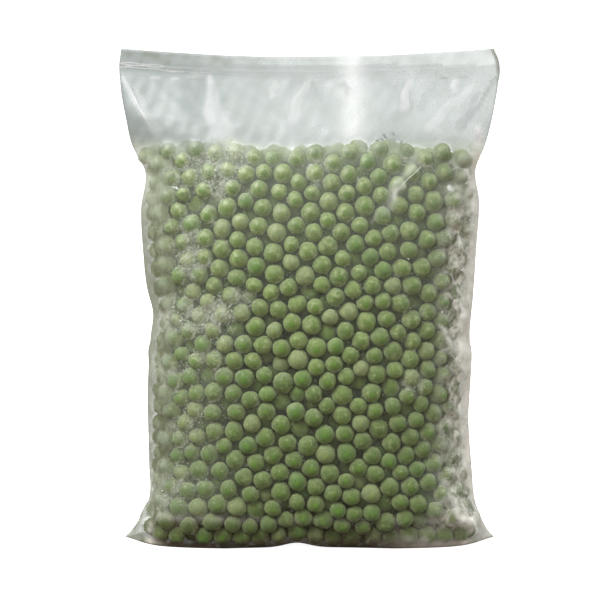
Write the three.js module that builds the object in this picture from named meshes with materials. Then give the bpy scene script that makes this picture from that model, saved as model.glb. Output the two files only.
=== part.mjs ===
// A sealed clear film bag of frozen peas, standing on the flat that its own weight presses into it.
// Millimetres, +Z up, the shown face towards -Y. The origin is on the ground under the bag's middle.
//
// The bag is a tube of film, flat-pressed at both ends. From the ground up it has a flat base, two
// ears where the tube's lower corners stick out past that base, a body that the peas fill and bulge,
// an empty neck where front and back film close on each other, and a thin band above the seal.
// Film over peas has one bump for each pea behind it, so the body's surface is a lattice of bumps:
// rows of peas, each row half a pea along from the one below, every pea a little out of place.
import * as THREE from "three";

// The bag's driving sizes.
const HEIGHT = 235;
const FLAT_WIDTH = 178;
const BELLY_DEPTH = 57;
const FILL_HEIGHT = 189;
const FILM_SOLID = 1;
const TOP_SAG = 4;
const TOP_LEAN = 3;

// The seal that crosses the bag below its top edge.
const SEAL_BELOW_TOP = 7.5;
const SEAL_RIDGE = 0.35;
const SEAL_HALF_HEIGHT = 1.1;

// The lower corners of the tube, pressed flat on the ground.
const EAR_REACH = 8.7;
const EAR_HEIGHT = 14;
const EAR_WIDTH = 13;
const EAR_CURVE = 1.4;

// The peas behind the film.
const PEA_PITCH = 9.9;
const PEA_ROWS = 22;
const PEA_SHIFT = 1.9;
const PEA_SET_BACK = 1.1;
const LOWEST_PEA_ROW = 4.4;
const BUMP_HEIGHT = 2.1;
const BUMP_SHARE = 0.8;
const TOP_ROW_FILLED = 0.55;
const GAP_SHARE = 0.05;
const GAP_DEPTH = 1.5;
const ROW_DRIFT = 2.2;
const ROW_DRIFT_WAVES = 6;

// The film between the peas and the seal.
const NECK_ROWS = 4;
const NECK_FOLD = 1.3;
const NECK_FOLD_PITCH = 31;
const NECK_FOLD_LEAN = 2.4;
const FOLD_CALM = 14;
const BODY_LUMP = 1.1;
const BODY_LUMP_WAVES = 5;

// Left side of the body, pressed in a little at half height.
const DENT_DEPTH = 2.2;
const DENT_HEIGHT = 108;
const DENT_REACH = 11;

// Half widths up the side fold and half depths up the middle, each at a share of the height, as
// shares of half the flat width and of half the belly's depth.
const SIDE_PROFILE = [
  [0, 0.895], [0.045, 0.9], [0.08, 0.875], [0.255, 0.865], [0.45, 0.852], [0.64, 0.89],
  [0.762, 0.874], [0.843, 0.944], [0.957, 1], [1, 0.985],
];
const DEPTH_PROFILE = [
  [0, 0.74], [0.05, 0.93], [0.21, 1], [0.47, 0.97], [0.66, 0.88],
  [0.78, 0.7], [0.86, 0.42], [0.925, 0.16], [0.96, 0.03], [1, 0.03],
];

// How square the level outline is, from 2 for an ellipse: on the ground, in the body and at the seal.
const BASE_SQUARENESS = 4;
const BODY_SQUARENESS = 2.25;
const SEAL_SQUARENESS = 6;
const BASE_BEND = 45;
const BASE_PINCH = 0.12;

const GIRTH = 2 * FLAT_WIDTH;
const COLUMNS = 2 * Math.round(FLAT_WIDTH / PEA_PITCH);
const OUTLINE_STEPS = 160;
const SEAL_HEIGHT = HEIGHT - SEAL_BELOW_TOP;
const FILM = { color: 0x9db583, roughness: 0.35, metalness: 0 };

// The same random numbers in the same order each time.
function seededRandom(seed) {
  let state = seed;
  return () => {
    state = (state + 0x6d2b79f5) | 0;
    let t = Math.imul(state ^ (state >>> 15), 1 | state);
    t = (t + Math.imul(t ^ (t >>> 7), 61 | t)) ^ t;
    return ((t ^ (t >>> 14)) >>> 0) / 2 ** 32;
  };
}

// A smooth curve through [place, value] stations, read at a place.
function throughStations(stations, place) {
  const last = stations.length - 1;
  const slope = (k) => {
    const [a, b] = [stations[Math.max(k - 1, 0)], stations[Math.min(k + 1, last)]];
    return (b[1] - a[1]) / (b[0] - a[0]);
  };
  let k = 0;
  while (k < last - 1 && place > stations[k + 1][0]) k += 1;
  const [x0, y0] = stations[k];
  const [x1, y1] = stations[k + 1];
  const span = x1 - x0;
  const t = THREE.MathUtils.clamp((place - x0) / span, 0, 1);
  return (
    (2 * t ** 3 - 3 * t ** 2 + 1) * y0 +
    (t ** 3 - 2 * t ** 2 + t) * span * slope(k) +
    (3 * t ** 2 - 2 * t ** 3) * y1 +
    (t ** 3 - t ** 2) * span * slope(k + 1)
  );
}

function halfWidth(z) {
  return (FLAT_WIDTH / 2) * throughStations(SIDE_PROFILE, z / HEIGHT);
}

function halfDepth(z) {
  const depth = (BELLY_DEPTH / 2) * throughStations(DEPTH_PROFILE, z / HEIGHT);
  return Math.max(depth, FILM_SOLID / 2);
}

// The level outline at a height, a rounded lens, as points and the length walked to each.
function outlineAt(z) {
  const [a, b] = [halfWidth(z), halfDepth(z)];
  const { lerp, smoothstep } = THREE.MathUtils;
  const body = lerp(BASE_SQUARENESS, BODY_SQUARENESS, smoothstep(z, 0, BASE_BEND));
  const power = 2 / lerp(body, SEAL_SQUARENESS, smoothstep(z, FILL_HEIGHT, SEAL_HEIGHT));
  const points = [];
  const walked = [0];
  for (let k = 0; k <= OUTLINE_STEPS; k += 1) {
    const turn = (2 * Math.PI * k) / OUTLINE_STEPS;
    const [c, s] = [Math.cos(turn), Math.sin(turn)];
    points.push(
      new THREE.Vector2(
        a * Math.sign(c) * Math.abs(c) ** power,
        b * Math.sign(s) * Math.abs(s) ** power,
      ),
    );
    if (k) walked.push(walked[k - 1] + points[k].distanceTo(points[k - 1]));
  }
  return { points, walked };
}

// The distance walked round the tube from the nearer of its two side folds.
function distanceFromFold(share) {
  return Math.abs(share - Math.round(share * 2) / 2) * GIRTH;
}

// The bare film, with no bumps: share is how far round the tube from its right-hand side fold.
function filmPoint(share, z) {
  const { points, walked } = outlineAt(z);
  const round = share - Math.floor(share);
  const along = round * walked[OUTLINE_STEPS];
  let k = 1;
  while (k < OUTLINE_STEPS && walked[k] < along) k += 1;
  const part = (along - walked[k - 1]) / (walked[k] - walked[k - 1]);
  const flat = points[k - 1].clone().lerp(points[k], part);
  const across = flat.x / halfWidth(z);

  const tip = Math.max(0, 1 - distanceFromFold(share) / EAR_WIDTH) ** 2;
  const ear = EAR_REACH * Math.max(0, 1 - z / EAR_HEIGHT) ** EAR_CURVE * tip;
  const dent = DENT_DEPTH * Math.exp(-(((z - DENT_HEIGHT) / DENT_REACH) ** 2));
  const low = 1 - THREE.MathUtils.smoothstep(z, 0, EAR_HEIGHT * 2);
  const pinch = 1 - BASE_PINCH * low * Math.max(0, 1 - (2 * across) ** 2);
  const neck = THREE.MathUtils.smoothstep(z, FILL_HEIGHT, HEIGHT);
  return new THREE.Vector3(
    flat.x + Math.sign(flat.x) * ear + (across < 0 ? dent * across ** 6 : 0),
    flat.y * pinch + TOP_LEAN * neck,
    z - TOP_SAG * neck * Math.max(0, 1 - across ** 2),
  );
}

// The film's point pushed out, or in, along the way it faces.
function raisedPoint(share, z, raise) {
  const [aside, above] = [0.002, 0.4];
  const point = filmPoint(share, z);
  const round = filmPoint(share + aside, z).sub(filmPoint(share - aside, z));
  const up = filmPoint(share, z + above).sub(filmPoint(share, z - above));
  return point.addScaledVector(round.cross(up).normalize(), raise);
}

// Wide, shallow unevenness of the full body: waves round the tube, and as long ones up it.
function bodyLump(share, z) {
  const { smoothstep } = THREE.MathUtils;
  const length = GIRTH / BODY_LUMP_WAVES;
  const aboveBase = smoothstep(z, 0, length / 2);
  const belowNeck = 1 - smoothstep(z, FILL_HEIGHT - length / 4, FILL_HEIGHT);
  const round = share * BODY_LUMP_WAVES * 2 * Math.PI;
  const upward = (z / length) * 2 * Math.PI;
  return BODY_LUMP * aboveBase * belowNeck * Math.sin(round + upward / 2) * Math.sin(upward + 1);
}

// Upright folds in the empty neck, dying away at the seal and the peas.
function neckFold(share, z) {
  const up = THREE.MathUtils.clamp((z - FILL_HEIGHT) / (SEAL_HEIGHT - FILL_HEIGHT), 0, 1);
  const round = share * (GIRTH / NECK_FOLD_PITCH) * 2 * Math.PI;
  return NECK_FOLD * Math.sin(Math.PI * up) * Math.sin(round + NECK_FOLD_LEAN * up + Math.sin(round / 3));
}

// How far the film stands out from its plain form at a row.
function unevenness(share, z, onSealRidge) {
  const awayFromFold = THREE.MathUtils.smoothstep(distanceFromFold(share), 0, FOLD_CALM);
  const neck = neckFold(share, z) + (onSealRidge ? SEAL_RIDGE : 0);
  return bodyLump(share, z) + neck * awayFromFold;
}

// Every second row of peas lies half a pea along. The rows of bare film are straight above each
// other, so that the side folds run through them.
function isShifted(row) {
  return row >= 1 && row <= PEA_ROWS && row % 2 === 0;
}

// Row by row up the bag: base rim, peas, neck, the seal's ridge and the top edge.
function rowHeights() {
  const step = (FILL_HEIGHT - LOWEST_PEA_ROW) / (PEA_ROWS - 1);
  const heights = [0];
  for (let k = 0; k < PEA_ROWS; k += 1) heights.push(LOWEST_PEA_ROW + k * step);
  const neckStep = (SEAL_HEIGHT - SEAL_HALF_HEIGHT - FILL_HEIGHT) / (NECK_ROWS + 1);
  for (let k = 1; k <= NECK_ROWS; k += 1) heights.push(FILL_HEIGHT + k * neckStep);
  heights.push(SEAL_HEIGHT - SEAL_HALF_HEIGHT, SEAL_HEIGHT, SEAL_HEIGHT + SEAL_HALF_HEIGHT, HEIGHT);
  return heights;
}

// Where each lattice place lies: its share round the tube, its height, and whether a pea is there.
// The rows of peas rise and fall a little round the bag and the columns lean to and fro.
function latticePlaces(heights, random) {
  const wave = (length) => Math.sin((length / GIRTH) * ROW_DRIFT_WAVES * 2 * Math.PI);
  return heights.map((height, row) =>
    Array.from({ length: COLUMNS }, (_, column) => {
      const inPeas = row >= 1 && row <= PEA_ROWS;
      const shift = inPeas ? PEA_SHIFT : 0;
      const inside = inPeas && row > 2 && row < PEA_ROWS;
      const drift = inside ? ROW_DRIFT : 0;
      const share = (column + (isShifted(row) ? 0.5 : 0)) / COLUMNS;
      const along = share * GIRTH;
      const sideways = (random() * 2 - 1) * shift + drift * wave(height + along / 2);
      const upward = (random() * 2 - 1) * (row > 1 ? shift : shift / 4);
      const filled = random() < (inside ? 1 - GAP_SHARE : row < PEA_ROWS ? 1 : TOP_ROW_FILLED);
      const onEar = height < EAR_HEIGHT && distanceFromFold(share) < PEA_PITCH;
      return {
        share: share + sideways / GIRTH,
        z: height + upward + drift * wave(along + height / 3),
        back: random() * PEA_SET_BACK,
        pea: inPeas && filled && !onEar,
        inside,
      };
    }),
  );
}

// The bag's skin: a pea is a top with six corners round it, each set in the hollow that it shares
// with two neighbours, and a place without a pea is a single point.
function bagGeometry() {
  const random = seededRandom(7);
  const heights = rowHeights();
  const places = latticePlaces(heights, random);
  const lastRow = heights.length - 1;
  const positions = [];
  const index = [];

  const put = (point) => {
    positions.push(point.x, point.y, point.z);
    return positions.length / 3 - 1;
  };
  // Columns are counted without wrapping, so that a share never jumps back by a whole turn.
  const placeAt = (row, column) => {
    const turns = Math.floor(column / COLUMNS);
    const place = places[row][column - turns * COLUMNS];
    return { ...place, share: place.share + turns };
  };
  const key = (row, column) => row * COLUMNS + (column - Math.floor(column / COLUMNS) * COLUMNS);

  // The neighbours of a place: a shifted row's are one column further along on either side of it.
  const stepUp = (row) => (isShifted(row + 1) ? 0 : 1);
  const stepDown = (row) => (isShifted(row) ? 1 : 0);
  const east = (row, column) => [row, column + 1];
  const northEast = (row, column) => [row + 1, column + stepUp(row)];
  const northWest = (row, column) => [row + 1, column + stepUp(row) - 1];
  const southEast = (row, column) => [row - 1, column + stepDown(row)];
  const southWest = (row, column) => [row - 1, column + stepDown(row) - 1];
  const west = (row, column) => [row, column - 1];
  const around = [east, northEast, northWest, west, southWest, southEast];

  const skin = new Map();
  for (let row = 0; row <= lastRow; row += 1) {
    for (let column = 0; column < COLUMNS; column += 1) {
      const place = placeAt(row, column);
      const atEnd = row === 0 || row === lastRow;
      const rise = atEnd ? 0 : unevenness(place.share, place.z, row === lastRow - 2);
      if (!place.pea) {
        const only = put(
          atEnd
            ? filmPoint(place.share, place.z)
            : raisedPoint(place.share, place.z, rise - (place.inside ? GAP_DEPTH : 0)),
        );
        skin.set(key(row, column), { top: only, corners: Array(6).fill(only) });
        continue;
      }
      const top = put(raisedPoint(place.share, place.z, rise - place.back));
      const corners = around.map((toNext, k) => {
        const a = placeAt(...toNext(row, column));
        const b = placeAt(...around[(k + 1) % 6](row, column));
        const share = place.share + ((a.share + b.share - 2 * place.share) / 3) * BUMP_SHARE;
        const z = place.z + ((a.z + b.z - 2 * place.z) / 3) * BUMP_SHARE;
        const peasBeside = (a.inside || a.pea ? 0.5 : 0) + (b.inside || b.pea ? 0.5 : 0);
        return put(raisedPoint(share, z, rise - BUMP_HEIGHT * peasBeside - place.back / 2));
      });
      skin.set(key(row, column), { top, corners });
    }
  }

  const face = (a, b, c) => {
    if (a !== b && b !== c && c !== a) index.push(a, b, c);
  };
  const quad = (a, b, c, d) => {
    face(a, b, c);
    face(a, c, d);
  };
  const at = (spot) => skin.get(key(...spot));
  for (let row = 0; row <= lastRow; row += 1) {
    for (let column = 0; column < COLUMNS; column += 1) {
      const here = at([row, column]);
      here.corners.forEach((corner, k) => face(here.top, corner, here.corners[(k + 1) % 6]));
      const right = at(east(row, column));
      quad(here.corners[5], right.corners[3], right.corners[2], here.corners[0]);
      if (row === lastRow) continue;
      const upRight = at(northEast(row, column));
      const upLeft = at(northWest(row, column));
      quad(here.corners[0], upRight.corners[4], upRight.corners[3], here.corners[1]);
      quad(here.corners[1], upLeft.corners[5], upLeft.corners[4], here.corners[2]);
      face(here.corners[0], right.corners[2], upRight.corners[4]);
      face(here.corners[1], upRight.corners[3], upLeft.corners[5]);
    }
  }

  // The ends: back and front edges are joined straight across, column by column.
  const half = COLUMNS / 2;
  for (let k = 0; k < half; k += 1) {
    const across = (row, step) => [at([row, step]).top, at([row, COLUMNS - step]).top];
    const [baseBack, baseFront] = across(0, k);
    const [baseBackNext, baseFrontNext] = across(0, k + 1);
    quad(baseBack, baseFront, baseFrontNext, baseBackNext);
    const [topBack, topFront] = across(lastRow, k);
    const [topBackNext, topFrontNext] = across(lastRow, k + 1);
    quad(topBack, topBackNext, topFrontNext, topFront);
  }

  const geometry = new THREE.BufferGeometry();
  geometry.setAttribute("position", new THREE.Float32BufferAttribute(positions, 3));
  geometry.setIndex(index);
  geometry.computeBoundingBox();
  const middle = geometry.boundingBox.getCenter(new THREE.Vector3());
  geometry.translate(-middle.x, -middle.y, 0);
  geometry.computeVertexNormals();
  return geometry;
}

const bag = new THREE.Mesh(bagGeometry(), new THREE.MeshStandardMaterial({ ...FILM, flatShading: true }));
bag.name = "pea_bag";

const group = new THREE.Group();
group.add(bag);

export default group;
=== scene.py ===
import math

import bmesh
import bpy
import numpy as np
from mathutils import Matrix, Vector


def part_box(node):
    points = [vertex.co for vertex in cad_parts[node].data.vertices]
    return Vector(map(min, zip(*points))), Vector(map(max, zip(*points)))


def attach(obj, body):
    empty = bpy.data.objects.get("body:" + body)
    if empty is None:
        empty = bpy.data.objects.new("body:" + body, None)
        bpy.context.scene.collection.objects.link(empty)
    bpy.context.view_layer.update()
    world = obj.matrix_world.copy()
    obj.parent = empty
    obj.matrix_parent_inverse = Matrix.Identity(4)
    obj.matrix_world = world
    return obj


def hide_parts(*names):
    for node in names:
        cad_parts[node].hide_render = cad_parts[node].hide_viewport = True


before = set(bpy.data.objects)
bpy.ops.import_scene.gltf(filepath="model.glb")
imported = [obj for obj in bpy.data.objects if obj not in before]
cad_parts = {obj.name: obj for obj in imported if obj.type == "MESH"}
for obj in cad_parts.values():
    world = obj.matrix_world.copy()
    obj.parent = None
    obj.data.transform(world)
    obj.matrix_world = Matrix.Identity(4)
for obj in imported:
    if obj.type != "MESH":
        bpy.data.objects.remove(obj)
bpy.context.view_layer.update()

# The peas
# Some two thousand frozen garden peas lie loose in the bag, up to a little under its neck. Each is a
# round seed with a thin satin skin, a little flattened and dimpled by freezing, and dusted with frost
# wherever it isn't pressed against the film.

# Sizes are in millimetres until MM turns them into metres.
MM = 0.001
bag_low, bag_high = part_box("pea_bag")
BAG_HEIGHT = bag_high.z / MM
FLAT_WIDTH = (bag_high.x - bag_low.x) / MM
# The bag's box goes round the bumps of its belly, and the belly's smooth form lies inside them.
BELLY_BUMP = 0.4
BELLY_DEPTH = (bag_high.y - bag_low.y) / MM - 2 * BELLY_BUMP

# Half widths at the left and right side folds and half depths at the middle, each at a share of the
# height, as shares of half the flat width and of half the belly's depth.
LEFT_SIDE = [
    (0, 0.895), (0.045, 0.905), (0.08, 0.87), (0.16, 0.866), (0.3, 0.87), (0.42, 0.85),
    (0.468, 0.836), (0.52, 0.866), (0.6, 0.886), (0.68, 0.893), (0.76, 0.872),
    (0.81, 0.937), (0.86, 0.965), (0.93, 0.995), (0.97, 1), (1, 0.988),
]
RIGHT_SIDE = [
    (0, 0.895), (0.045, 0.915), (0.085, 0.893), (0.156, 0.875), (0.25, 0.857), (0.35, 0.866),
    (0.42, 0.857), (0.5, 0.872), (0.6, 0.886), (0.7, 0.897), (0.76, 0.877),
    (0.81, 0.926), (0.86, 0.958), (0.93, 0.99), (0.957, 1), (0.98, 0.99), (1, 0.965),
]
HALF_DEPTH = [
    (0, 0.74), (0.05, 0.93), (0.21, 1), (0.47, 0.97), (0.66, 0.88),
    (0.78, 0.7), (0.86, 0.42), (0.925, 0.14), (0.96, 0.014), (1, 0.014),
]
# How far inside the side folds the heap of peas ends, in millimetres, at each share of the height.
LEFT_SLACK = [(0, 0.5), (0.12, 1), (0.35, 2.2), (0.6, 2.4), (0.72, 0.6), (1, 0.4)]
RIGHT_SLACK = [(0, 0.5), (0.08, 1), (0.2, 3), (0.6, 3), (0.75, 1.5), (1, 1)]
FILL_HEIGHT = 0.804 * BAG_HEIGHT
# How far the heap's top rises above that in each hump, at which x and how wide.
HEAP_HUMPS = [(4.5, 27, 20), (2, -50, 22)]
SEAL_HEIGHT = BAG_HEIGHT - 7.5

PEA_RADIUS = 4.55
PEA_RADIUS_SPREAD = 0.28
SMALLEST_PEA, LARGEST_PEA = 3.8, 5.25
PEA_SHAPES = 9
DIMPLES = 5
SHALLOWEST_DIMPLE, DEEPEST_DIMPLE = 0.02, 0.13
WAVINESS = 0.018
FLATTEST_PEA = 0.9
POUR_TRIES = 40000
PACKED_SHARE = 0.65
SETTLING_STEPS = 400
FALLING_STEPS = 150
FALL = 0.02
PUSH_SHARE = 0.35
NEIGHBOUR_STEPS = 8
NEIGHBOUR_MARGIN = 1.5
TOP_UNEVENNESS = 1.8
FILM_AT_BASE = 0.4
# The film's foot arches up a little off the ground in the shown face.
BASE_ARCH, BASE_ARCH_X, BASE_ARCH_WIDTH = 2.2, -6, 8
ARCH_MARGIN, ARCH_BACK = 3, 4

# Where frost lies thickest on the shown face: x, z, size and strength.
FROST_PATCHES = [
    (-38, 190, 8, 1.8), (-42, 177, 7, 1.5), (-60, 184, 9, 0.6), (-62, 112, 9, 1.5), (-44, 113, 9, 1.3),
    (-33, 121, 6, 0.7), (-58, 138, 8, 0.8), (-48, 92, 8, 0.6), (5, 182, 9, 0.4), (48, 80, 6, 0.7),
    (50, 186, 9, 0.6), (-68, 84, 9, 0.6), (-60, 56, 9, 0.6), (-72, 26, 9, 0.8), (66, 50, 8, 0.6),
    (-56, 150, 16, 0.35), (-52, 70, 20, 0.3), (-60, 30, 18, 0.3), (50, 120, 14, 0.25),
]
random = np.random.default_rng(11)


def smooth_step(value, start, end):
    """0 before start, 1 after end and a smooth rise between."""
    t = np.clip((value - start) / (end - start), 0, 1)
    return t * t * (3 - 2 * t)


def through_stations(stations, place):
    """A smooth curve through (place, value) stations, read at each place."""
    x, y = np.array(stations, float).T
    slope = np.gradient(y, x)
    k = np.clip(np.searchsorted(x, place) - 1, 0, len(x) - 2)
    span = x[k + 1] - x[k]
    t = np.clip((place - x[k]) / span, 0, 1)
    return (
        (2 * t**3 - 3 * t**2 + 1) * y[k]
        + (t**3 - 2 * t**2 + t) * span * slope[k]
        + (3 * t**2 - 2 * t**3) * y[k + 1]
        + (t**3 - t**2) * span * slope[k + 1]
    )


def half_width(z, x):
    """How far the side fold on x's side lies from the bag's middle at height z."""
    share = z / BAG_HEIGHT
    on_right = x > 0
    sides = np.where(on_right, through_stations(RIGHT_SIDE, share), through_stations(LEFT_SIDE, share))
    return FLAT_WIDTH / 2 * sides


def half_depth(z):
    return BELLY_DEPTH / 2 * through_stations(HALF_DEPTH, z / BAG_HEIGHT)


def squareness(z):
    """2 is an ellipse: the level outline is squarer on the ground and at the seal."""
    body = 4 - 1.75 * smooth_step(z, 0, 45)
    return body + (6 - body) * smooth_step(z, FILL_HEIGHT, SEAL_HEIGHT)


def outside_room(peas, radii):
    """How far each pea is past the film, as a share of the room there, and the way back in."""
    x, y, z = peas.T
    share = z / BAG_HEIGHT
    slack = np.where(x > 0, through_stations(RIGHT_SLACK, share), through_stations(LEFT_SLACK, share))
    a = half_width(z, x) - slack - radii
    b = np.maximum(half_depth(z) - radii, 0.4)
    n = squareness(z)
    u, v = np.abs(x) / a + 1e-9, np.abs(y) / b + 1e-9
    reach = (u**n + v**n) ** (1 / n)
    slope_x = np.sign(x) * u ** (n - 1) / a * reach ** (1 - n)
    slope_y = np.sign(y) * v ** (n - 1) / b * reach ** (1 - n)
    return reach, np.stack([slope_x, slope_y, np.zeros(len(x))], 1)


def heap_top(peas):
    """The height of the heap's top over each pea, without the small unevenness of single peas."""
    x, y, _ = peas.T
    humps = sum(rise * np.exp(-(((x - middle) / width) ** 2)) for rise, middle, width in HEAP_HUMPS)
    return FILL_HEIGHT + humps - 1.5 * np.sin(y / 8)


def base_level(peas):
    """The height of the film under each pea."""
    x, y, _ = peas.T
    from_arch = (x - BASE_ARCH_X) / (BASE_ARCH_WIDTH + ARCH_MARGIN)
    return FILM_AT_BASE + (BASE_ARCH + FILM_AT_BASE) * np.exp(-from_arch**2) * (y < ARCH_BACK)


def frost_over(x, z, side):
    """How thick the frost lies at x, z on the shown face, side 1, or on the back, side -1."""
    total = np.zeros(np.shape(x))
    for patch_x, patch_z, size, strength in FROST_PATCHES:
        total += strength * np.exp(-((x - side * patch_x) ** 2 + (z - patch_z) ** 2) / size**2)
    return total


def settled(peas, radii):
    """The peas after they have sunk a little and pressed each other apart until they lie packed."""
    peas = peas.copy()
    count = len(peas)
    lift = random.uniform(-TOP_UNEVENNESS, TOP_UNEVENNESS, count)
    for step in range(SETTLING_STEPS):
        if step % NEIGHBOUR_STEPS == 0:
            squared = (peas**2).sum(1)
            apart = squared[:, None] + squared - 2 * peas @ peas.T
            close = apart < (radii[:, None] + radii + NEIGHBOUR_MARGIN) ** 2
            a, b = np.nonzero(np.triu(close, 1))
        if step < FALLING_STEPS:
            peas[:, 2] -= FALL
        between = peas[a] - peas[b]
        distance = np.linalg.norm(between, axis=1) + 1e-9
        overlap = np.maximum(radii[a] + radii[b] - distance, 0)
        push = between * (PUSH_SHARE * overlap / distance)[:, None]
        for axis in range(3):
            peas[:, axis] += np.bincount(a, push[:, axis], count) - np.bincount(b, push[:, axis], count)
        reach, slope = outside_room(peas, radii)
        excess = np.maximum(reach - 1, 0) / (slope**2).sum(1)
        peas -= excess[:, None] * slope
        peas[:, 2] = np.clip(peas[:, 2], base_level(peas) + radii, heap_top(peas) + lift - radii)
    return peas


def poured_peas():
    """Centres and radii of the peas in the bag."""
    tries = random.uniform((-0.5, -0.5, 0), (0.5, 0.5, 1), (POUR_TRIES, 3))
    tries *= (FLAT_WIDTH, BELLY_DEPTH, FILL_HEIGHT)
    inside = tries[outside_room(tries, np.zeros(len(tries)))[0] < 1]
    room = len(inside) / len(tries) * FLAT_WIDTH * BELLY_DEPTH * FILL_HEIGHT
    count = int(PACKED_SHARE * room / (4 / 3 * math.pi * PEA_RADIUS**3))
    radii = random.normal(PEA_RADIUS, PEA_RADIUS_SPREAD, count).clip(SMALLEST_PEA, LARGEST_PEA)
    return settled(inside[:count], radii), radii


def pea_shapes(kinds):
    """Round seeds with a few dozen faces, each slightly flattened and dimpled in its own way."""
    seed = bmesh.new()
    bmesh.ops.create_cube(seed, size=2)
    bmesh.ops.subdivide_edges(seed, edges=seed.edges, cuts=2, use_grid_fill=True)
    corners = np.array([v.co for v in seed.verts])
    ways = np.tan(corners * math.pi / 4)
    ways /= np.linalg.norm(ways, axis=1)[:, None]
    faces = np.array([[v.index for v in face.verts] for face in seed.faces])
    seed.free()
    shapes = []
    for _ in range(kinds):
        size = np.ones(len(ways))
        for depth in random.uniform(SHALLOWEST_DIMPLE, DEEPEST_DIMPLE, DIMPLES):
            centre = random.normal(size=3)
            turned = ways @ (centre / np.linalg.norm(centre))
            size -= depth * smooth_step(turned, 0.72, 1)
        size *= 1 + WAVINESS * np.sin(ways @ random.normal(size=3) * 4 + random.uniform(0, 6))
        shapes.append(ways * size[:, None] * (1, 1, random.uniform(FLATTEST_PEA, 1)))
    return np.array(shapes), faces


def random_turns(count):
    """Rotation matrices, evenly spread over all the ways that a pea can lie."""
    ways = random.normal(size=(4, count))
    w, x, y, z = ways / np.linalg.norm(ways, axis=0)
    rows = [
        [1 - 2 * (y * y + z * z), 2 * (x * y - z * w), 2 * (x * z + y * w)],
        [2 * (x * y + z * w), 1 - 2 * (x * x + z * z), 2 * (y * z - x * w)],
        [2 * (x * z - y * w), 2 * (y * z + x * w), 1 - 2 * (x * x + y * y)],
    ]
    return np.moveaxis(np.array(rows), 2, 0)


def joined_copies(name, copies, faces, marks):
    """One object of many copies of a shape: copies holds their points in millimetres, copy by copy,
    faces is one copy's faces, and marks holds a number for each point under each attribute's name."""
    count, corners = copies.shape[:2]
    all_faces = (faces + corners * np.arange(count)[:, None, None]).reshape(-1, faces.shape[1])
    mesh = bpy.data.meshes.new(name)
    mesh.from_pydata((copies.reshape(-1, 3) * MM).tolist(), [], all_faces.tolist())
    for mark, values in marks.items():
        mesh.attributes.new(mark, "FLOAT", "POINT").data.foreach_set("value", values.ravel())
    mesh.shade_smooth()
    piece = bpy.data.objects.new(name, mesh)
    bpy.context.collection.objects.link(piece)
    return piece


def node_adder(tree):
    """A short way to add a node to a tree, with its settings and its inputs' values or links."""

    def add(kind, values=(), **settings):
        node = tree.nodes.new("ShaderNode" + kind)
        for setting, value in settings.items():
            setattr(node, setting, value)
        for socket, value in dict(values).items():
            if isinstance(value, bpy.types.NodeSocket):
                tree.links.new(value, node.inputs[socket])
            else:
                node.inputs[socket].default_value = value
        return node

    return add


def surface(name, roughness, **values):
    """A new material's Principled shader and the function that adds nodes to it."""
    material = bpy.data.materials.new(name)
    material.use_nodes = True
    shader = material.node_tree.nodes["Principled BSDF"]
    shader.inputs["Roughness"].default_value = roughness
    for socket, value in values.items():
        shader.inputs[socket.replace("_", " ")].default_value = value
    return material, shader, node_adder(material.node_tree)


def frost_bloom_group():
    """Rime on a cold skin: fine white grains in loose patches. Amount goes from 0, none, to 1."""
    tree = bpy.data.node_groups.new("Frost bloom", "ShaderNodeTree")
    for name in ("Amount", "Grain size", "Patch size"):
        tree.interface.new_socket(name, in_out="INPUT", socket_type="NodeSocketFloat")
    tree.interface.new_socket("Mask", in_out="OUTPUT", socket_type="NodeSocketFloat")
    tree.interface.new_socket("Height", in_out="OUTPUT", socket_type="NodeSocketFloat")
    add = node_adder(tree)
    inputs = tree.nodes.new("NodeGroupInput")
    outputs = tree.nodes.new("NodeGroupOutput")
    place = add("TexCoord").outputs["Object"]
    scale = add("Math", {0: 1.0, 1: inputs.outputs["Grain size"]}, operation="DIVIDE")
    grains = add("TexNoise", {"Vector": place, "Scale": scale.outputs[0], "Detail": 5.0,
                              "Roughness": 0.8})
    patch_scale = add("Math", {0: 1.0, 1: inputs.outputs["Patch size"]}, operation="DIVIDE")
    patches = add("TexNoise", {"Vector": place, "Scale": patch_scale.outputs[0], "Detail": 2.0})
    mixed = add("Math", {0: grains.outputs["Fac"], 1: patches.outputs["Fac"]}, operation="ADD")
    start = add("Math", {0: inputs.outputs["Amount"], 1: -0.5, 2: 1.25}, operation="MULTIPLY_ADD")
    end = add("Math", {0: inputs.outputs["Amount"], 1: -0.5, 2: 1.8}, operation="MULTIPLY_ADD")
    mask = add(
        "MapRange",
        {"Value": mixed.outputs[0], "From Min": start.outputs[0], "From Max": end.outputs[0]},
        interpolation_type="SMOOTHSTEP",
    )
    tree.links.new(mask.outputs[0], outputs.inputs["Mask"])
    tree.links.new(grains.outputs["Fac"], outputs.inputs["Height"])
    return tree


frost_bloom = frost_bloom_group()
PEA_FROST = (0.4, 0.455, 0.21, 1)


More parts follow.
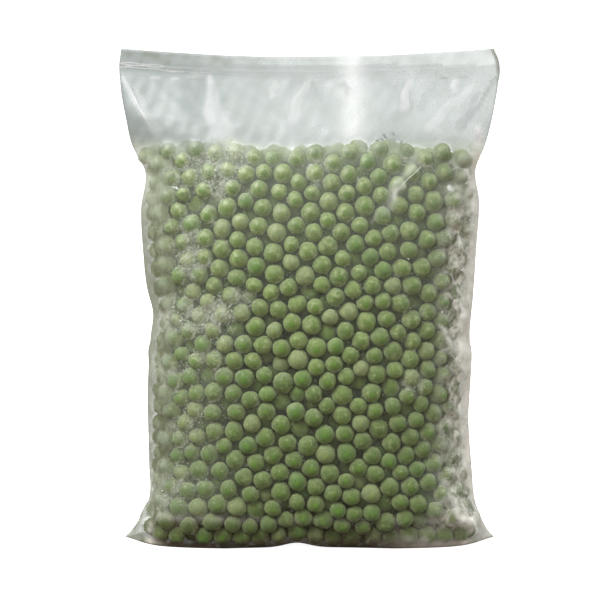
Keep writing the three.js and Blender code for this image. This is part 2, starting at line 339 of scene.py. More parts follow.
def pea_skin(name, dark, light, spot, frosting):
    """Pea skin of its own green: spot is the wetter green where a pea touches the film, and frosting
    is how much of the rest of it is frosted."""
    sheen = {"Sheen_Weight": 0.3, "Sheen_Roughness": 0.7, "Sheen_Tint": (0.8, 1, 0.6, 1)}
    material, shader, add = surface(name, 0.8, Specular_IOR_Level=0.15, **sheen)
    place = add("TexCoord").outputs["Object"]
    tone_and_low_shade = add("Attribute", attribute_name="tone_and_low_shade").outputs["Fac"]
    toward = add("Attribute", attribute_name="toward_film").outputs["Fac"]
    rime = add("Attribute", attribute_name="rime").outputs["Fac"]
    # The tone mark mixes the two greens. It differs at random from pea to pea, and it darkens the lower
    # peas as painted shade.
    green = add("Mix", {0: tone_and_low_shade, 6: dark, 7: light}, data_type="RGBA")
    mottle = add("TexNoise", {"Vector": place, "Scale": 480.0, "Detail": 6.0, "Roughness": 0.85})
    blotches = add("MapRange", {"Value": mottle.outputs["Fac"], "From Min": 0.25, "From Max": 0.75,
                                "To Min": 0.55, "To Max": 1.45})
    mottled = add("VectorMath", {0: green.outputs[2], 3: blotches.outputs[0]}, operation="SCALE")
    wobble = add("Math", {0: mottle.outputs["Fac"], 1: 0.3, 2: toward}, operation="MULTIPLY_ADD")
    pressed = add(
        "MapRange",
        {"Value": wobble.outputs[0], "From Min": 0.98, "From Max": 1.14},
        interpolation_type="SMOOTHSTEP",
    )
    beside = add("MapRange", {"Value": wobble.outputs[0], "From Min": 0.2, "From Max": 0.8,
                              "To Min": 0.55})
    skin = add("Mix", {0: pressed.outputs[0], 6: mottled.outputs[0], 7: spot}, data_type="RGBA")
    dry = add("Math", {0: beside.outputs[0], 1: pressed.outputs[0]}, operation="SUBTRACT",
              use_clamp=True)
    thick = add("Math", {0: rime, 1: 0.38, 2: frosting}, operation="MULTIPLY_ADD")
    amount = add("Math", {0: dry.outputs[0], 1: thick.outputs[0]}, operation="MULTIPLY")
    bloom = add("Group", {"Amount": amount.outputs[0], "Grain size": 0.00065, "Patch size": 0.0028},
                node_tree=frost_bloom)
    # Towards the rim the skin is whiter: partly real frost, partly painted sheen.
    turned_away = add("Attribute", attribute_name="turned_away").outputs["Fac"]
    edge = add("Math", {0: turned_away, 1: 1.4}, operation="POWER")
    uneven = add("Math", {0: bloom.outputs["Height"], 1: 3.4, 2: -0.85}, operation="MULTIPLY_ADD")
    rim_frost_and_sheen = add("Math", {0: edge.outputs[0], 1: uneven.outputs[0]}, operation="MULTIPLY")
    white = add("Math", {0: bloom.outputs["Mask"], 1: rim_frost_and_sheen.outputs[0]}, operation="MAXIMUM",
                use_clamp=True)
    rime_white = add("VectorMath", {0: PEA_FROST[:3], 3: blotches.outputs[0]}, operation="SCALE")
    frosted = add("Mix", {0: white.outputs[0], 6: skin.outputs[2], 7: rime_white.outputs[0]},
                  data_type="RGBA")
    wrinkles = add("TexNoise", {"Vector": place, "Scale": 650.0, "Detail": 3.0, "Distortion": 0.2})
    relief = add("Math", {0: wrinkles.outputs["Fac"], 1: bloom.outputs["Height"]}, operation="ADD")
    bump = add("Bump", {"Strength": 0.7, "Distance": 0.00045, "Height": relief.outputs[0]})
    material.node_tree.links.new(frosted.outputs[2], shader.inputs["Base Color"])
    material.node_tree.links.new(bump.outputs[0], shader.inputs["Normal"])
    return material


peas, radii = poured_peas()
shapes, pea_faces = pea_shapes(PEA_SHAPES)
kinds = random.integers(0, len(shapes), len(peas))
turned = np.einsum("nij,nkj->nki", random_turns(len(peas)), shapes[kinds])
pea_points = turned * radii[:, None, None] + peas[:, None]

# A pea touches the film on the side where the room's wall is nearest, and frost grows on the skin
# that turns away from there. It is whitest at the rims: partly real frost, and partly a painted
# sheen of frost seen edge-on.
reach, wall_slope = outside_room(peas, radii)
wall_way = wall_slope / np.linalg.norm(wall_slope, axis=1)[:, None]
touch = smooth_step(reach, 0.9, 0.995)
facing_film = np.einsum("nki,ni->nk", turned, wall_way)
toward_film = facing_film * touch[:, None]
turned_away = np.clip(1 - facing_film, 0, 1)
# Each pea's lightness differs at random, and the peas are darker towards the bottom as painted shade.
lightness_and_low_shade = random.beta(2, 2, len(peas)) - 0.85 * (1 - smooth_step(peas[:, 2], 20, 120))
tone_and_low_shade = np.repeat(np.clip(lightness_and_low_shade, 0, 1)[:, None], pea_points.shape[1], 1)
thickness = frost_over(peas[:, 0], peas[:, 2], -np.sign(peas[:, 1]))
thickness += 0.9 * smooth_step(peas[:, 2], 10, 200) - 0.4
rime = np.repeat(thickness[:, None], pea_points.shape[1], 1)

# Each kind's share of the peas, its dark and light greens, its spot and how much of it is frosted.
PEA_KINDS = {
    "green_peas": (0.12, (0.08, 0.16, 0.025, 1), (0.13, 0.225, 0.035, 1), (0.1, 0.235, 0.012, 1), 0.55),
    "frosted_peas": (0.78, (0.085, 0.14, 0.022, 1), (0.165, 0.24, 0.045, 1), (0.11, 0.23, 0.015, 1),
                     0.78),
    "pale_peas": (0.1, (0.2, 0.24, 0.1, 1), (0.26, 0.3, 0.14, 1), (0.23, 0.3, 0.07, 1), 0.72),
}
lot = random.random(len(peas))
for name, (share, dark, light, spot, frosting) in PEA_KINDS.items():
    chosen = (lot >= 0) & (lot < share)
    lot -= share
    marks = {"tone_and_low_shade": tone_and_low_shade[chosen], "toward_film": toward_film[chosen], "rime": rime[chosen]}
    marks["turned_away"] = turned_away[chosen]
    pea_piece = joined_copies(name, pea_points[chosen], pea_faces, marks)
    pea_piece.data.materials.append(pea_skin(name, dark, light, spot, frosting))
    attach(pea_piece, "root")
    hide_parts("pea_bag")

# The film
# One tube of thin clear polythene, pressed flat and welded across the top, is the whole bag. It lies
# tight over the peas it touches, bridges the hollows between them, and is pinched into creases above
# them. Where it stands off the cold peas, its inside is milky with frost.
GIRTH = 2 * FLAT_WIDTH
COLUMNS = 320
ROWS = 212
OUTLINE_STEPS = 360
EAR_REACH, EAR_HEIGHT, EAR_WIDTH, EAR_CURVE = 9.6, 14, 14, 1.4
BASE_PINCH = 0.12
TOP_LEAN, TOP_SAG = 3, 4
FILM_CLEARANCE = 0.25
FILM_SAG = 0.03
FILM_ROUNDS = 260
FAR_INSIDE = -12.0
SIDE_FOLD = 1.3
SEAL_RIDGE, SEAL_HALF_HEIGHT = 0.25, 1.1
# Two thin lines along the seal: how far below the ridge, and where each fades out towards the right.
SEAL_LINES = [(0.9, -40), (-1.1, -55)]
SEAL_LINE_HALF_WIDTH = 0.45

# Creases and facets. Each runs from x, z to x, z on the shown face, with its half width at either
# end, how far it stands out, how milky it is, and how pale, a painted highlight on the facet.
CREASES = [
    (-88.6, 223, -72.5, 196, 1.3, 1.6, 0.5, 0.66, 0.2),
    (-80, 215, -71, 195, 1.4, 4.0, 0.2, 0.6, 0.12),
    (-76, 223.5, -70, 222, 1.6, 1.8, 0.2, 0.64, 0.25),
    (-47, 222.5, -41.5, 195, 1.8, 8.0, 0.4, 0.6, 0.22),
    (-64, 221, -59, 223, 1.0, 1.2, 0.4, 0.68, 0.25),
    (-15.9, 219.5, -18.3, 213, 2.4, 1.8, 0.2, 0.6, 0.2),
    (-0.7, 221, -8.8, 203, 1.8, 3.6, 0.3, 0.6, 0.2),
    (46.8, 222, 43.5, 208, 1.8, 3.0, 0.4, 0.62, 0.34),
    (50, 224, 57, 219, 2.6, 3.0, 0.2, 0.6, 0.12),
    (60, 219, 51, 207, 3.0, 3.4, -0.3, 0.64, -0.1),
    (67.7, 221, 67.7, 215, 1.8, 2.2, 0.3, 0.64, 0.35),
    (76, 218, 55, 200, 2.0, 3.0, 0.2, 0.44, 0.25),
    (77.7, 199, 81, 191, 1.5, 1.6, 0.6, 0.85, 1),
    (49, 187, 33, 160, 4.5, 6, 0.1, 0.4, 0.5),
    (44, 175, 37, 167, 2.5, 4, 0.1, 0.6, 0.75),
    (35, 166, 28, 156, 1.5, 2, 0.1, 0.35, 0.5),
    (-72, 151, -68, 141, 1.5, 1.5, 0.6, 0.4, 0.3),
    (-58, 136, -53, 129, 2.4, 2.0, 0.4, 0.42, 0.5),
    (60, 108, 74, 88, 1.5, 6, 1.0, 0.85, 0.9),
    (70, 118, 76, 84, 4, 5, 0.6, 0.7, 0.6),
    (66, 26, 77, 8, 2.6, 7, 1.0, 0.85, 0.9),
    (62, 58, 66, 46, 1.1, 1.5, 0.6, 0.4, 0.6),
]
# Sharp folds of the film, drawn as white lines of painted highlight: x, z to x, z on the shown
# face and the fold's half width.
FOLDS = [
    (54, 184.5, 36, 167, 0.34), (-86, 220, -74, 199, 0.18),
    (64, 100, 76, 93, 0.7), (66, 93, 74, 84, 0.5), (70, 152, 74, 132, 0.4), (68, 128, 73, 118, 0.5),
    (72, 70, 69, 56, 0.4), (67, 21, 78, 9, 0.6),
]
FOLD_REACH = 9
# A painted highlight that runs up the neck: its x and its width.
HIGHLIGHT_COLUMN, HIGHLIGHT_COLUMN_WIDTH = 20, 6
# Far enough that the back's ripples aren't those of the front.
BACK_RIPPLES = 300
COARSE_RIPPLES, FINE_RIPPLES = (23, 5), (9, 6)
random = np.random.default_rng(23)


def film_form(shares, heights):
    """Points of the smooth film: shares run once round the tube from the right-hand side fold."""
    turn = np.linspace(0, 2 * math.pi, OUTLINE_STEPS + 1)
    points = np.zeros((len(heights), len(shares), 3))
    from_fold = np.abs(shares - np.round(shares * 2) / 2) * GIRTH
    for row, z in enumerate(heights):
        power = 2 / (squareness(z) - 0.25 * smooth_step(z, 20, 60))
        cosine, sine = np.cos(turn), np.sin(turn)
        x = half_width(z, cosine) * np.sign(cosine) * np.abs(cosine) ** power
        y = max(half_depth(z), 0.35) * np.sign(sine) * np.abs(sine) ** power
        walked = np.concatenate([[0], np.cumsum(np.hypot(np.diff(x), np.diff(y)))])
        place_x = np.interp(shares * walked[-1], walked, x)
        place_y = np.interp(shares * walked[-1], walked, y)
        across = place_x / half_width(z, place_x)
        tip = np.maximum(0, 1 - from_fold / EAR_WIDTH) ** 1.6
        ear = EAR_REACH * max(0, 1 - z / EAR_HEIGHT) ** EAR_CURVE * tip
        low_share = 1 - smooth_step(z, 0, EAR_HEIGHT * 2)
        middle = np.maximum(0, 1 - (2 * across) ** 2)
        neck = smooth_step(z, FILL_HEIGHT, BAG_HEIGHT)
        points[row, :, 0] = place_x + np.sign(place_x) * ear
        points[row, :, 1] = place_y * (1 - BASE_PINCH * low_share * middle) + TOP_LEAN * neck
        from_arch = (place_x - BASE_ARCH_X) / BASE_ARCH_WIDTH
        arch = BASE_ARCH * low_share * np.exp(-from_arch**2) * (place_y < 0)
        points[row, :, 2] = z - TOP_SAG * neck * (1 - across**2) + arch
    return points


def facing(points):
    """The way that the film faces at each point of its grid."""
    round_it = np.roll(points, -1, 1) - np.roll(points, 1, 1)
    up_it = np.gradient(points, axis=0)
    ways = np.cross(round_it, up_it)
    return ways / np.linalg.norm(ways, axis=2)[:, :, None]


def pea_heights(points, ways, heights):
    """How far out from each point of the smooth film a pea reaches, far inside where none does."""
    raised = np.full(points.shape[:2], FAR_INSIDE)
    for pea, radius in zip(peas, radii + FILM_CLEARANCE):
        reach = radius + 3
        rows = slice(*np.searchsorted(heights, (pea[2] - reach, pea[2] + reach)))
        toward = pea - points[rows]
        along = (toward * ways[rows]).sum(2)
        aside = (toward**2).sum(2) - along**2
        top = along + np.sqrt(np.maximum(radius**2 - aside, 0))
        near = (aside < radius**2) & (along < 2) & (along > FAR_INSIDE - 3)
        raised[rows] = np.maximum(raised[rows], np.where(near, top, FAR_INSIDE))
    return raised


def neighbour_mean(field):
    """Each grid point's mean with its four neighbours, round the tube and up it."""
    padded = np.pad(field, ((1, 1), (0, 0)), mode="edge")
    return (np.roll(field, 1, 1) + np.roll(field, -1, 1) + padded[2:] + padded[:-2]) / 4


def ripples(x, z, length, count):
    """Sharp-edged waves, count of them in all directions, as in crumpled film: from 0 to about 1."""
    total = np.zeros_like(x)
    for _ in range(count):
        way, start = random.uniform(0, 2 * math.pi, 2)
        stretch = random.uniform(0.6, 1.6)
        bend = 1.3 * np.sin((x * math.sin(way) - z * math.cos(way)) / (length * 1.9) + start)
        wave = (x * math.cos(way) + z * math.sin(way)) * stretch / length * math.pi
        total += 1 - np.abs(np.sin(wave + bend + start))
    return total / count


shares = np.arange(COLUMNS) / COLUMNS
heights = np.linspace(0, BAG_HEIGHT, ROWS + 1)
form = film_form(shares, heights)
ways = facing(form)
x, y, z = np.moveaxis(form, 2, 0)
in_front = y < TOP_LEAN / 2
side = np.where(in_front, 1, -1)
above_peas = smooth_step(z, FILL_HEIGHT - 5, FILL_HEIGHT + 9)
below_seal = 1 - smooth_step(z, SEAL_HEIGHT - 9, SEAL_HEIGHT - 3)
body = 1 - above_peas
to_fold = np.abs(shares - np.round(shares * 2) / 2)[None, :] * GIRTH + 0 * z
beside_fold = smooth_step(to_fold, 0, 12)
loose = smooth_step(x, 56, 72) * smooth_step(z, 8, 20)
crumple = ripples(x + BACK_RIPPLES * side, z, *COARSE_RIPPLES)
fine_crumple = ripples(x + BACK_RIPPLES * side, z, *FINE_RIPPLES)

crease_height = np.zeros_like(x)
crease_milk = np.zeros_like(x)
in_crease = np.zeros_like(x)
painted_highlight = np.zeros_like(x)
for x0, z0, x1, z1, half_start, half_end, stand, milkiness, highlight_strength in CREASES:
    run = np.array([x1 - x0, z1 - z0])
    from_start = x * side - x0
    along = (from_start * run[0] + (z - z0) * run[1]) / (run @ run)
    aside = (from_start * run[1] - (z - z0) * run[0]) / math.hypot(*run)
    half = half_start + (half_end - half_start) * np.clip(along, 0, 1)
    ends = smooth_step(along, -0.2, 0.2) * (1 - smooth_step(along, 0.8, 1.2))
    ridge = np.maximum(0, 1 - np.abs(aside + 0.25 * half * np.sin(along * 9)) / half) * ends
    facet = smooth_step(ridge, 0, 1 - 0.6 * above_peas)
    crease_height += stand * ridge
    crease_milk = np.maximum(crease_milk, milkiness * facet)
    in_crease = np.maximum(in_crease, facet)
    painted_highlight += (highlight_strength - painted_highlight) * facet

# How far each point lies beside the nearest sharp white line, in the line's half widths, and how
# strong the line is there. The lines along the folds are painted highlights.
beside_line = np.full_like(x, FOLD_REACH)
line_strength = np.zeros_like(x)
for x0, z0, x1, z1, half in FOLDS:
    run = np.array([x1 - x0, z1 - z0])
    along = ((x * side - x0) * run[0] + (z - z0) * run[1]) / (run @ run)
    aside = ((x * side - x0) * run[1] - (z - z0) * run[0]) / math.hypot(*run) / half
    nearer = (np.abs(aside) < np.abs(beside_line)) & (np.abs(along - 0.5) < 0.7)
    beside_line = np.where(nearer, aside + 0.5 * np.sin(along * 8), beside_line)
    line_strength = np.where(nearer, 1 - smooth_step(np.abs(along - 0.5), 0.3, 0.6), line_strength)

touched = pea_heights(form, ways, heights)
stand_off = np.zeros_like(x)
floor_level = np.maximum(touched, crease_height * body - 9 * (crease_height <= 0.05))
on_side_fold = (to_fold < SIDE_FOLD) & (z > EAR_HEIGHT)
floor_level = np.where(on_side_fold, np.maximum(floor_level, 0), floor_level)
for _ in range(FILM_ROUNDS):
    sag = FILM_SAG * body * smooth_step(z, 4, 14)
    stand_off = np.maximum(floor_level, neighbour_mean(stand_off) - sag)
# The film that isn't drawn tight is crumpled, in the neck and at the right side.
slack = (crumple - 0.5) * (1.2 * above_peas * below_seal + 1.6 * loose * body)
slack += (fine_crumple - 0.5) * (0.7 * above_peas * below_seal + 1.4 * loose * body)
stand_off = np.maximum(touched, stand_off + slack * beside_fold)
stand_off += crease_height * above_peas * below_seal

# The weld shows as a ridge that wavers a little, and follows the sag of the top.
welded = z - SEAL_HEIGHT + TOP_SAG * (1 - (x / FLAT_WIDTH * 2) ** 2)
welded += 0.3 * np.sin(x / 5.5) + 0.2 * np.sin(x / 2.1 + 1)
seal_line = np.maximum(0, 1 - np.abs(welded) / SEAL_HALF_HEIGHT)
for off_seal, far_end in SEAL_LINES:
    aside = (welded + off_seal) / SEAL_LINE_HALF_WIDTH
    nearer = np.abs(aside) < np.abs(beside_line)
    beside_line = np.where(nearer, aside, beside_line)
    line_strength = np.where(nearer, 0.5 - 0.4 * smooth_step(x, far_end - 25, far_end), line_strength)
beside_line = np.clip(beside_line, -FOLD_REACH, FOLD_REACH)
stand_off += SEAL_RIDGE * seal_line * beside_fold
stand_off *= smooth_step(heights, 0, 3)[:, None]
film_points = form + ways * stand_off[:, :, None]

# The empty gap behind each point of the film, and where it lies, each from 0, not there, to 1.
gap = np.clip(stand_off - touched, 0, 12)
hollow = smooth_step(gap, 0.2, 1.8) * body
touch_rim = smooth_step(gap, 0.02, 0.25) * (1 - smooth_step(gap, 0.7, 1.8)) * body
upper = smooth_step(z, 90, 200) * body
low = 1 - smooth_step(z, 10, 110)
off_ground = smooth_step(z, 6, 14)
in_band = z > SEAL_HEIGHT
on_left = smooth_step(-x, 15, 70) * body * (1 - smooth_step(z, 120, 180))
on_right = smooth_step(x, 15, 60) * body
beside_right = smooth_step(x, 54, 68) * off_ground * (1 - smooth_step(z, 150, 185))
beside_left = smooth_step(-x, 60, 76) * off_ground * body
at_fold = (1 - smooth_step(to_fold + 9 * (fine_crumple - 0.36), 3, 16)) * body
on_ear = (1 - smooth_step(z, 4, EAR_HEIGHT)) * at_fold
near_fold = (1 - smooth_step(to_fold, 16, 30)) * off_ground * body
behind_empty = smooth_step(gap, 0.2, 2) * near_fold
# The right fold's edge above the peas, where a thin line of painted shade runs.
right_edge = (1 - smooth_step(to_fold, 0.5, 3.3)) * (x > 0) * above_peas
over_heap = 0.3 * smooth_step(z, FILL_HEIGHT - 12, FILL_HEIGHT) * smooth_step(gap, 0.2, 2.5)
over_heap += 0.7 * smooth_step(z, FILL_HEIGHT - 6, FILL_HEIGHT + 4)
# The film's foot, where the milk turns brown: painted shade and a painted reflection of a brown table.
on_ground = (1 - smooth_step(z, 12, 20)) * smooth_step(to_fold, 4, 24)
on_ground *= 1 - 0.3 * smooth_step(x, 25, 60)
# The neck's painted highlight column.
highlight_column = np.exp(-(((x - HIGHLIGHT_COLUMN) / HIGHLIGHT_COLUMN_WIDTH) ** 2)) * above_peas
frost_here = frost_over(x, z, side)

# How much of what lies behind the film its milkiness hides.
# In the low hollows the milk is doubled, to carry the painted olive tint there.
milk = 0.02 + 0.05 * hollow * (1 + low) + 0.08 * frost_here
milk += (0.15 - 0.06 * smooth_step(-x, 15, 50)) * upper + 0.09 * on_left + 0.05 * on_right
milk += 0.16 * beside_left + 0.12 * beside_right
milk += over_heap * (0.37 + 0.12 * smooth_step(gap, 0.5, 6))
milk += above_peas * (0.34 * smooth_step(-x, 10, 80) - 0.06 * smooth_step(x, 20, 70))
milk += above_peas * (0.12 * (crumple - 0.5) + 0.1 * in_band * (fine_crumple - 0.5))
milk -= 0.1 * in_band + 0.16 * highlight_column
milk = np.maximum(milk, at_fold * np.where(x > 0, 0.82, 0.62))
milk = np.maximum(milk, behind_empty * np.where(x > 0, 0.82, 0.75))
# A veil at the film's foot that carries that painted brown, densest on the ground as a painted contact
# shadow.
veil_top = 5 + 7 * np.exp(-(((x - 12) / 45) ** 4))
low_veil = 1 - smooth_step(z + 5 * (fine_crumple - 0.36), 0.3 * veil_top, veil_top)
milk = np.maximum(milk, (0.7 + 0.25 * (z < 3)) * low_veil * smooth_step(to_fold, 2, 12))
milk = np.maximum(milk, 0.6 * (1 - smooth_step(to_fold, 15, 24)) * smooth_step(z, 4, 8) * body)
milk = np.maximum(np.maximum(milk, crease_milk), 0.75 * right_edge)

# Painted shade, where that milk is darker: on the left fold, beside the side folds, on the ears, in a
# thin line along the right-hand edge and in blotches of the band. In the low hollows it turns the milk
# olive, a painted tint of light bounced from the peas. And where it is warmer: cream up to 0.5, and
# brown above, a painted shadow at the film's foot and along the right fold's edge.
painted_shade = 0.75 * np.maximum(at_fold, behind_empty) * (x < 0) * (1 - smooth_step(z, 150, 178))
painted_shade += 0.35 * beside_left * (1 - at_fold) + np.where(x < 0, 1, 0.3) * on_ear
painted_shade += 0.2 * beside_right * (1 - at_fold) * (1 - in_crease) + 0.75 * right_edge
painted_shade += 0.5 * in_band * smooth_step(-x, -10, 60) * smooth_step(fine_crumple, 0.25, 0.6)
painted_shade += 0.85 * low * smooth_step(z, 9, 20) * smooth_step(x, -50, -20) * (1 - smooth_step(x, 48, 60))
cream_and_brown_shade = np.maximum(0.5 * at_fold * np.where(x > 0, 1, 0.2), 0.35 * beside_right)
cream_and_brown_shade = np.maximum(np.minimum(cream_and_brown_shade, 0.5), on_ground)
# A thin painted brown line of shade along the right fold's edge.
cream_and_brown_shade = np.maximum(cream_and_brown_shade, (to_fold < 0.6) * (x > 0) * 0.75)

# Grains of frost on the film, and windows and blots in its milk.
grainy = frost_here * (1 - 0.6 * above_peas) + (0.28 + 0.25 * upper) * hollow + 0.5 * touch_rim
patchy = np.clip(beside_right + 0.5 * beside_left + 0.5 * on_ground, 0, 1) * smooth_step(z, 3, 7)
patchy *= (1 - at_fold) * (1 - 0.7 * in_crease)
film_marks = {
    "milk": np.clip(milk, 0, 0.95),
    "rime": np.clip(grainy, 0, 1),
    "patchy": patchy,
    "painted_highlight": np.clip(painted_highlight + 0.35 * highlight_column, 0, 1),
    "cream_and_brown_shade": np.clip(cream_and_brown_shade, 0, 1),
    "painted_shade": np.clip(painted_shade, 0, 1),
    "over_peas": 1 - smooth_step(z, FILL_HEIGHT - 4, FILL_HEIGHT + 7),
    "beside_line": beside_line,
    "line_strength": line_strength,
}

film_grid = bmesh.new()
bmesh.ops.create_grid(film_grid, x_segments=COLUMNS, y_segments=ROWS, size=0.5, calc_uvs=True)
layers = {mark: film_grid.verts.layers.float.new(mark) for mark in film_marks}
for v in film_grid.verts:
    column = round((v.co.x + 0.5) * COLUMNS) % COLUMNS
    row = round((v.co.y + 0.5) * ROWS)
    v.co = Vector(film_points[row, column]) * MM
    for mark, layer in layers.items():
        v[layer] = film_marks[mark][row, column]
seam = [v for v in film_grid.verts if v.is_boundary]
bmesh.ops.remove_doubles(film_grid, verts=seam, dist=1e-7)
rims = [edge for edge in film_grid.edges if edge.is_boundary]
bmesh.ops.holes_fill(film_grid, edges=rims, sides=0)
film_mesh = bpy.data.meshes.new("film")
film_grid.to_mesh(film_mesh)
film_grid.free()
film_mesh.shade_smooth()
film = bpy.data.objects.new("film", film_mesh)
bpy.context.collection.objects.link(film)


def clear_film():
    """Thin polythene: mostly clear, with a dull gloss, milky where the marks on the mesh say, and with
    painted highlights, painted shade and a painted brown shadow at its foot.
    """
    material, shader, add = surface("clear film", 0.55, Specular_IOR_Level=0.15)
    link = material.node_tree.links.new
    place = add("TexCoord").outputs["Object"]
    milk, rime, patchy, painted_highlight, cream_and_brown_shade, painted_shade, over_peas, beside_line, line_strength = (
        add("Attribute", attribute_name=mark).outputs["Fac"] for mark in film_marks
    )
    upright = add("Mapping", {"Vector": place, "Scale": (90, 90, 30)})
    clouds = add("TexNoise", {"Vector": upright.outputs[0], "Scale": 1.0, "Detail": 5.0,
                              "Roughness": 0.6})
    uneven = add("MapRange", {"Value": clouds.outputs["Fac"], "From Min": 0.3, "From Max": 0.7,
                              "To Min": 0.85, "To Max": 1.12})
    veil = add("Math", {0: milk, 1: uneven.outputs[0]}, operation="MULTIPLY")
    blots = add("TexNoise", {"Vector": place, "Scale": 190.0, "Detail": 5.0, "Roughness": 0.65,
                             "Distortion": 0.5})
    blot = add("MapRange", {"Value": blots.outputs["Fac"], "From Min": 0.36, "From Max": 0.62},
               interpolation_type="SMOOTHSTEP")
    window = add("Math", {0: 1.0, 1: blot.outputs[0]}, operation="SUBTRACT")
    windows = add("Math", {0: window.outputs[0], 1: patchy}, operation="MULTIPLY")
    left_over = add("Math", {0: windows.outputs[0], 1: -0.62, 2: 1.0}, operation="MULTIPLY_ADD")
    thinned = add("Math", {0: veil.outputs[0], 1: left_over.outputs[0]}, operation="MULTIPLY")
    cloudy = add("Math", {0: blot.outputs[0], 1: patchy}, operation="MULTIPLY")
    blotted = add("Math", {0: cloudy.outputs[0], 1: 0.35, 2: thinned.outputs[0]},
                  operation="MULTIPLY_ADD")
    amount = add("Math", {0: rime, 1: 1.15, 2: 0.05}, operation="MULTIPLY_ADD")
    bloom = add("Group", {"Amount": amount.outputs[0], "Grain size": 0.0013, "Patch size": 0.006},
                node_tree=frost_bloom)
    cells = add("TexVoronoi", {"Vector": place, "Scale": 420.0}, feature="DISTANCE_TO_EDGE")
    crackle = add("MapRange", {"Value": cells.outputs["Distance"], "From Max": 0.16, "To Min": 0.6})
    crackled = add("Math", {0: bloom.outputs["Mask"], 1: crackle.outputs[0]}, operation="MULTIPLY")
    grains = add("Math", {0: crackled.outputs[0], 1: 0.62}, operation="MULTIPLY")
    clouded = add("Math", {0: blotted.outputs[0], 1: grains.outputs[0]}, operation="MAXIMUM",
                  use_clamp=True)
    offset = add("Math", {0: beside_line}, operation="ABSOLUTE")
    broken = add("MapRange", {"Value": blots.outputs["Fac"], "From Min": 0.35, "From Max": 0.55,
                              "To Min": 0.15, "To Max": 1.1})
    sharp = add("MapRange", {"Value": offset.outputs[0], "From Min": broken.outputs[0], "From Max": 0.1,
                             "To Max": 0.9}, interpolation_type="SMOOTHSTEP")
    line = add("Math", {0: sharp.outputs[0], 1: line_strength}, operation="MULTIPLY")
    cover = add("Math", {0: clouded.outputs[0], 1: line.outputs[0]}, operation="MAXIMUM")
    cool = add("Mix", {0: clouds.outputs["Fac"], 6: (0.27, 0.31, 0.31, 1), 7: (0.34, 0.375, 0.35, 1)},
               data_type="RGBA")
    hazy = add("Mix", {0: over_peas, 6: cool.outputs[2], 7: (0.42, 0.475, 0.355, 1)}, data_type="RGBA")
    # Painted highlights: the pale facets and the white fold lines turn the film towards white.
    lighter = add("Math", {0: painted_highlight, 1: line.outputs[0]}, operation="MAXIMUM")
    whitest = add("Mix", {0: over_peas, 6: (0.9, 0.86, 0.88, 1), 7: (0.92, 0.96, 0.89, 1)},
                  data_type="RGBA")
    lit = add("Mix", {0: lighter.outputs[0], 6: hazy.outputs[2], 7: whitest.outputs[2]},
              data_type="RGBA")
    most_cream = add("MapRange", {"Value": blot.outputs[0], "To Min": 0.62})
    creamy = add("MapRange", {"Value": cream_and_brown_shade, "From Max": 0.5, "To Max": most_cream.outputs[0]})
    cream = add("Mix", {0: creamy.outputs[0], 6: lit.outputs[2], 7: (1, 0.965, 0.89, 1)},
                data_type="RGBA")
    # Past half way the mark turns the film dark brown: painted shade at its foot and along the right
    # fold's edge.
    browner = add("MapRange", {"Value": cream_and_brown_shade, "From Min": 0.5})
    brown = add("Mix", {0: browner.outputs[0], 6: cream.outputs[2], 7: (0.09, 0.073, 0.046, 1)},
                data_type="RGBA")
    shade = add("Mix", {0: painted_shade, 6: brown.outputs[2], 7: (0.165, 0.18, 0.105, 1)}, data_type="RGBA")
    icy = add("Mix", {0: rime, 6: (0.22, 0.26, 0.16, 1), 7: (0.53, 0.57, 0.46, 1)}, data_type="RGBA")
    tint = add("Mix", {0: bloom.outputs["Mask"], 6: shade.outputs[2], 7: icy.outputs[2]},
               data_type="RGBA")
    link(tint.outputs[2], shader.inputs["Base Color"])
    fine = add("TexNoise", {"Vector": place, "Scale": 160.0, "Detail": 3.0, "Distortion": 0.8})
    bump = add("Bump", {"Strength": 0.13, "Distance": 0.0005, "Height": fine.outputs["Fac"]})
    link(bump.outputs[0], shader.inputs["Normal"])
    clear = add("BsdfTransparent", {"Color": (0.96, 0.975, 0.965, 1)})
    gloss = add("BsdfAnisotropic", {"Color": (1, 1, 1, 1), "Roughness": 0.35,
                                    "Normal": bump.outputs[0]})
    sheet = add("MixShader", {0: cover.outputs[0], 1: clear.outputs[0], 2: shader.outputs[0]})
    grazing = add("LayerWeight", {"Blend": 0.5, "Normal": bump.outputs[0]})
    sharper = add("Math", {0: grazing.outputs["Facing"], 1: 5.0}, operation="POWER")
    mirror = add("Math", {0: sharper.outputs[0], 1: 0.15, 2: 0.025}, operation="MULTIPLY_ADD")
    shown = add("MixShader", {0: mirror.outputs[0], 1: sheet.outputs[0], 2: gloss.outputs[0]})
    link(shown.outputs[0], material.node_tree.nodes["Material Output"].inputs["Surface"])
    return material


film_mesh.materials.append(clear_film())
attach(film, "root")
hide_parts("pea_bag")

# The ice crumbs
# Loose crystals of frost, shaken off the peas, lie thinly in every gap between them and the film. They
# are coarsest and thickest in the patches of frost, such as the one at the top left.
CRUMBS = 5500
CRUMB_GAP = 0.9, 11
random = np.random.default_rng(31)
crystal = bmesh.new()
bmesh.ops.create_icosphere(crystal, subdivisions=1, radius=1)
crystal_ways = np.array([v.co for v in crystal.verts])
crystal_faces = np.array([[v.index for v in face.verts] for face in crystal.faces])
crystal.free()
has_room = (gap > CRUMB_GAP[0]) & (gap < CRUMB_GAP[1]) & (heights[:, None] > 4)
likely = has_room * (0.1 + 0.2 * upper + 2 * frost_here**1.5) * body
spots = random.choice(likely.size, CRUMBS, p=likely.ravel() / likely.sum())
depth = random.uniform(0.25, 0.9, CRUMBS) * np.minimum(gap.ravel()[spots], 3.5)
centres = film_points.reshape(-1, 3)[spots] - ways.reshape(-1, 3)[spots] * depth[:, None]
centres += random.uniform(-0.6, 0.6, (CRUMBS, 3)) * (1, 0.3, 1)
sizes = random.uniform(0.12, 0.3, CRUMBS)
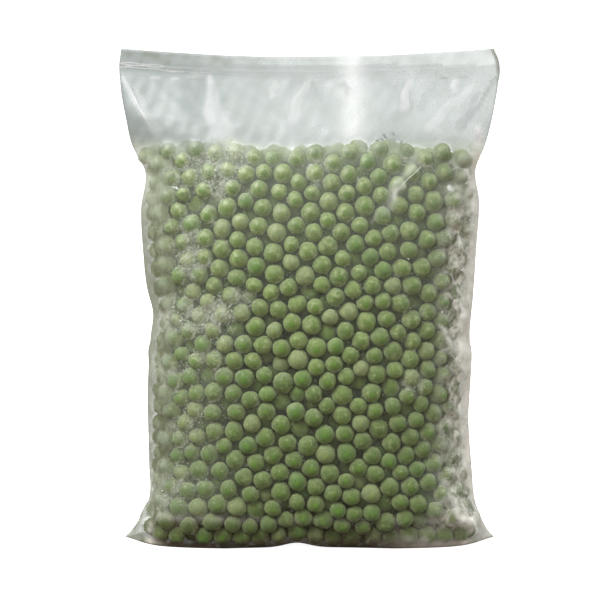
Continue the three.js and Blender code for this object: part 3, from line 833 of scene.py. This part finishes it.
sizes += 0.8 * np.minimum(frost_here.ravel()[spots], 1.2) * random.random(CRUMBS) ** 3
rough = random.uniform(0.6, 1.2, (CRUMBS, len(crystal_ways), 1))
crumb_points = centres[:, None] + crystal_ways * rough * sizes[:, None, None]
crumbs = joined_copies("ice_crumbs", crumb_points, crystal_faces, {})
crumbs.data.shade_flat()


def crumb_ice():
    """White, grainy ice without a gloss."""
    material, shader, add = surface("ice crumbs", 0.8, Specular_IOR_Level=0.2)
    place = add("TexCoord").outputs["Object"]
    cloud = add("TexNoise", {"Vector": place, "Scale": 900.0, "Detail": 2.0})
    white = add("Mix", {0: cloud.outputs["Fac"], 6: (0.33, 0.37, 0.28, 1), 7: (0.5, 0.53, 0.45, 1)},
                data_type="RGBA")
    material.node_tree.links.new(white.outputs[2], shader.inputs["Base Color"])
    return material


crumbs.data.materials.append(crumb_ice())
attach(crumbs, "root")
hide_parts("pea_bag")

# The studio
# A wide pale floor that runs far back, an even white sky, a large soft lamp over the left shoulder, a
# narrower one at the right, whose reflections show the film's creases, and a wide one above the back.
FLOOR_SIZE = 24
# The floor lies just below the bag, so that the two never lie in one plane.
FLOOR_DROP = 0.4
floor_grid = bmesh.new()
bmesh.ops.create_grid(floor_grid, x_segments=1, y_segments=1, size=FLOOR_SIZE / 2)
bmesh.ops.translate(floor_grid, verts=floor_grid.verts, vec=(0, 0, -FLOOR_DROP * MM))
floor_mesh = bpy.data.meshes.new("floor")
floor_grid.to_mesh(floor_mesh)
floor_grid.free()
floor = bpy.data.objects.new("floor", floor_mesh)
bpy.context.collection.objects.link(floor)
# The camera sees a white floor that glows evenly, and the bag a darker one that tints it from below.
floor_paint, floor_shader, add = surface("floor", 0.9, Emission_Strength=0.95)
seen = add("LightPath").outputs["Is Camera Ray"]
shades = {
    "Base Color": ((0.17, 0.125, 0.09, 1), (0.9, 0.9, 0.9, 1)),
    "Emission Color": ((0, 0, 0, 1), (1, 1, 1, 1)),
}
for socket, (for_bag, for_camera) in shades.items():
    shade = add("Mix", {0: seen, 6: for_bag, 7: for_camera}, data_type="RGBA")
    floor_paint.node_tree.links.new(shade.outputs[2], floor_shader.inputs[socket])
floor_mesh.materials.append(floor_paint)

world = bpy.data.worlds.new("studio")
bpy.context.scene.world = world
world.use_nodes = True
sky = world.node_tree.nodes["Background"]
sky.inputs["Color"].default_value = (0.98, 0.99, 1, 1)
add = node_adder(world.node_tree)
to_camera = add("LightPath").outputs["Is Camera Ray"]
brighter = add("Math", {0: to_camera, 1: 0.55, 2: 0.5}, operation="MULTIPLY_ADD")
world.node_tree.links.new(brighter.outputs[0], sky.inputs["Strength"])


def soft_lamp(name, place, aim, width, height, power):
    """A rectangular soft lamp at a place, turned towards an aim, in metres and watts."""
    lamp = bpy.data.lights.new(name, "AREA")
    lamp.shape = "RECTANGLE"
    lamp.size, lamp.size_y = width, height
    lamp.energy = power
    holder = bpy.data.objects.new(name, lamp)
    holder.location = place
    holder.rotation_euler = (Vector(aim) - Vector(place)).to_track_quat("-Z", "Y").to_euler()
    bpy.context.collection.objects.link(holder)


BAG_MIDDLE = (0, 0, 0.12)
soft_lamp("key lamp", (-0.35, -0.36, 0.62), BAG_MIDDLE, 0.5, 0.4, 6)
soft_lamp("side lamp", (1.2, -0.5, 0.7), BAG_MIDDLE, 0.35, 1.1, 5)
soft_lamp("top lamp", (0.1, 0.4, 1.5), BAG_MIDDLE, 1.4, 0.8, 13)

# The camera
# A long lens a little above the bag, looking straight at its shown face.
PIXEL = 0.475
FRAME_PIXELS = 600
BAG_CENTRE_PIXEL = 309.5
DISTANCE = 1100
ELEVATION = math.radians(10)
AIM_HEIGHT = 116.2
aim = Vector(((FRAME_PIXELS / 2 - BAG_CENTRE_PIXEL) * PIXEL, 0, AIM_HEIGHT)) * MM
lens = bpy.data.cameras.new("camera")
lens.sensor_width = 36
lens.lens = lens.sensor_width * DISTANCE / (PIXEL * FRAME_PIXELS)
lens.clip_end = 60
camera = bpy.data.objects.new("camera", lens)
camera.location = aim + Vector((0, -math.cos(ELEVATION), math.sin(ELEVATION))) * DISTANCE * MM
camera.rotation_euler = (math.pi / 2 - ELEVATION, 0, 0)
bpy.context.collection.objects.link(camera)
bpy.context.scene.camera = camera
bpy.context.scene.view_settings.view_transform = "Standard"
